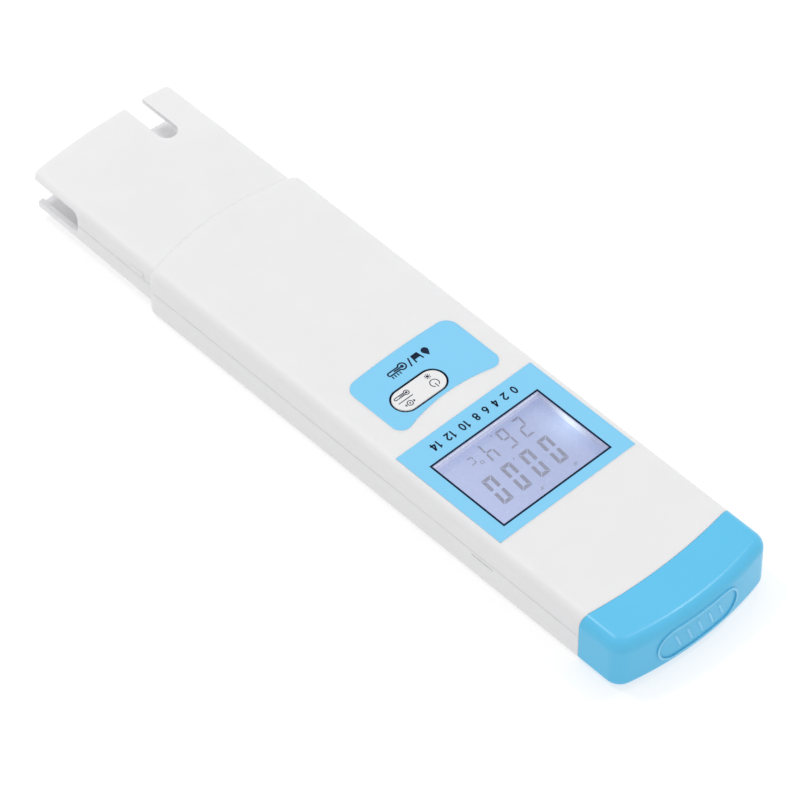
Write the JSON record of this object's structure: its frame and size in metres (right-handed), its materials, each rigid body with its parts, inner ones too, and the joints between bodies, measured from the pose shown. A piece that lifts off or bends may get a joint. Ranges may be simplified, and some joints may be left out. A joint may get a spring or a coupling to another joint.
{
  "type": "ph test pen",
  "caption": "Flat pocket water tester with a slotted sensor guard, a backlit number display, a rocking two-way key and a pull-off battery cap.",
  "frame": {"origin": "middle of the flat back face, half way along the whole pen", "axes": "+Z out of the display face, +Y from the open sensor end to the battery cap, +X to the right when the display is read"},
  "size_m": [0.0414, 0.1774, 0.0129],
  "materials": {
    "white_plastic": "fine matt white, moulded",
    "blue_plastic": "satin sky blue, moulded",
    "blue_film": "printed sky-blue film",
    "key_plastic": "satin white, moulded",
    "clear_window": "clear, thin",
    "lcd_glass": "pale lavender display glass",
    "light_guide": "clear acrylic, frosted back",
    "led": "white side light",
    "seal_rubber": "soft, matt",
    "strip_rubber": "layered contact rubber",
    "board": "glass-fibre board, green resist",
    "chip_black": "moulded chip case",
    "chip_tan": "ceramic chip",
    "socket_plastic": "cream moulded socket",
    "holder_plastic": "black moulded cradle",
    "steel": "bright steel",
    "spring_metal": "plated spring strip",
    "nickel": "nickel plate",
    "bulkhead_plastic": "pale grey moulding",
    "chamber_plastic": "dark grey, smooth",
    "junction_ceramic": "porous ceramic",
    "electrode_glass": "thin blown glass",
    "silver_wire": "silver wire",
    "lead_black": "insulated lead",
    "lead_red": "insulated lead",
    "bead": "glazed bead"
  },
  "bodies": {
    "housing": {"front_shell": "white_plastic", "back_shell": "white_plastic", "display_label": "blue_film", "keypad_label": "blue_film", "display_window": "clear_window", "key_pivot_pin": "steel", "power_switch_body": "chip_black", "cal_switch_body": "chip_black", "lcd_frame": "white_plastic", "lcd_panel": "lcd_glass", "backlight_guide": "light_guide", "backlight_led": "led", "zebra_strip": "strip_rubber", "main_board": "board", "microcontroller": "chip_black", "amplifier_chip": "chip_black", "wireless_board": "board", "wireless_shield": "nickel", "crystal": "nickel", "chip_capacitors": "chip_tan", "probe_sockets": "socket_plastic", "board_screws": "steel", "coin_cell_lower": "nickel", "coin_cell_upper": "nickel", "battery_holder": "holder_plastic", "battery_contact_negative": "spring_metal", "battery_contact_positive": "spring_metal", "probe_bulkhead": "bulkhead_plastic", "bulkhead_seal": "seal_rubber", "reference_chamber": "chamber_plastic", "reference_junction": "junction_ceramic", "glass_electrode": "electrode_glass", "electrode_core": "silver_wire", "temperature_sleeve": "steel", "thermistor": "bead", "electrode_lead": "lead_black", "thermistor_leads": "lead_red"},
    "battery_cap": {"battery_cap": "blue_plastic", "battery_cap_seal": "seal_rubber"},
    "rocker_key": {"rocker_key": "key_plastic"},
    "power_switch_plunger": {"power_switch_plunger": "socket_plastic"},
    "cal_switch_plunger": {"cal_switch_plunger": "socket_plastic"}
  },
  "joints": [
    {"name": "cap_pull", "type": "slide", "parent": "housing", "child": "battery_cap", "axis": [0, 1, 0], "range_m": [0, 0.02]},
    {"name": "key_rock", "type": "hinge", "parent": "housing", "child": "rocker_key", "pos_m": [0.00285, 0.01155, 0.0097], "axis": [0, 1, 0], "range_deg": [-2.6, 2.6], "stiffness_Nm_per_rad": 0.12},
    {"name": "cal_press", "type": "slide", "parent": "housing", "child": "cal_switch_plunger", "axis": [0, 0, -1], "range_m": [-0.0002, 0.0002]},
    {"name": "power_press", "type": "slide", "parent": "housing", "child": "power_switch_plunger", "axis": [0, 0, -1], "range_m": [-0.0002, 0.0002]}
  ],
  "couplings": [
    {"joint": "cal_press", "follows": "key_rock", "m_per_rad": 0.0044},
    {"joint": "power_press", "follows": "key_rock", "m_per_rad": -0.0044}
  ]
}
